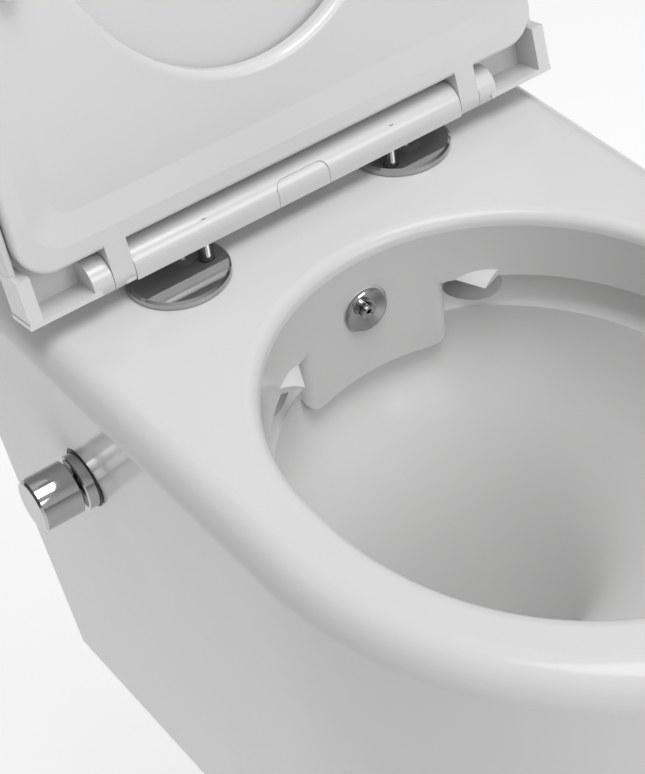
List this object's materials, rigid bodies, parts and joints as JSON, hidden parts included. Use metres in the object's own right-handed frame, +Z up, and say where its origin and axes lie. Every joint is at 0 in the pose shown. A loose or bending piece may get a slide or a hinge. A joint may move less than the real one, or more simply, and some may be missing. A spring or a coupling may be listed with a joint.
{
  "type": "wall-hung bidet toilet",
  "caption": "White wall-hung rimless toilet pan with a side water-valve knob, rear wash nozzle, and a raised soft-close seat and wrap-over lid on a lift-off hinge bar.",
  "frame": {"origin": "midway between the two wall studs, on the wall face of the pan", "axes": "+Y into the wall, +Z up, +X to the right seen from the front (knob side is -X)"},
  "size_m": [0.3836, 0.5395, 0.7965],
  "materials": {
    "glazed_ceramic": "white vitreous glaze, glossy",
    "seat_plastic": "white thermoset plastic, polished",
    "chrome": "bright chrome plate",
    "spring_steel": "plain stainless steel",
    "brass": "machined brass",
    "soft_rubber": "pale elastomer",
    "black_rubber": "black elastomer",
    "dark_plastic": "grey moulded nylon"
  },
  "bodies": {
    "pan": {"pan": "glazed_ceramic", "hinge_discs": "chrome", "disc_gaskets": "soft_rubber", "hinge_posts": "chrome", "hinge_bolts": "spring_steel", "hinge_washers": "soft_rubber", "hinge_nuts": "dark_plastic", "valve_collar": "chrome", "valve_seal": "black_rubber", "valve_body": "brass", "valve_cartridge": "brass", "valve_washer": "spring_steel", "valve_nut": "brass", "check_valve": "brass", "bidet_hose": "black_rubber", "hose_ferrules": "spring_steel", "nozzle_gasket": "soft_rubber", "nozzle_escutcheon": "chrome", "nozzle_tip": "chrome", "nozzle_body": "brass", "nozzle_washer": "soft_rubber", "nozzle_nut": "brass", "nozzle_elbow": "brass", "inlet_seal": "black_rubber", "stud_sleeves": "dark_plastic", "stud_washers": "spring_steel", "stud_nuts": "spring_steel"},
    "hinge_bar": {"hinge_bar": "seat_plastic", "seat_damper": "dark_plastic", "lid_damper": "dark_plastic", "button_spring": "spring_steel"},
    "lid": {"lid": "seat_plastic", "lid_buffers": "soft_rubber", "lid_damper_shaft": "spring_steel"},
    "seat": {"seat": "seat_plastic", "seat_buffers": "soft_rubber", "seat_damper_shaft": "spring_steel"},
    "release_button": {"release_button": "seat_plastic"},
    "left_latch": {"left_latch": "dark_plastic"},
    "right_latch": {"right_latch": "dark_plastic"},
    "knob": {"knob": "chrome", "knob_screw": "spring_steel", "valve_spindle": "brass"}
  },
  "joints": [
    {"name": "bar_lift", "type": "slide", "parent": "pan", "child": "hinge_bar", "axis": [0, 0, 1], "range_m": [0, 0.04]},
    {"name": "lid_hinge", "type": "hinge", "parent": "hinge_bar", "child": "lid", "pos_m": [0, -0.123, 0.098], "axis": [1, 0, 0], "range_deg": [0, 102]},
    {"name": "seat_hinge", "type": "hinge", "parent": "lid", "child": "seat", "pos_m": [0, -0.123, 0.098], "axis": [-1, 0, 0], "range_deg": [-102, 0]},
    {"name": "button_press", "type": "slide", "parent": "hinge_bar", "child": "release_button", "axis": [0, 1, 0], "range_m": [0, 0.003], "stiffness_N_per_m": 400},
    {"name": "left_latch_slide", "type": "slide", "parent": "hinge_bar", "child": "left_latch", "axis": [1, 0, 0], "range_m": [0, 0.0024]},
    {"name": "right_latch_slide", "type": "slide", "parent": "hinge_bar", "child": "right_latch", "axis": [-1, 0, 0], "range_m": [0, 0.0024]},
    {"name": "knob_turn", "type": "hinge", "parent": "pan", "child": "knob", "pos_m": [-0.19, -0.139, -0.016], "axis": [-1, 0, 0], "range_deg": [0, 90]}
  ],
  "couplings": [
    {"joint": "left_latch_slide", "follows": "button_press", "ratio": 0.8},
    {"joint": "right_latch_slide", "follows": "button_press", "ratio": 0.8}
  ]
}
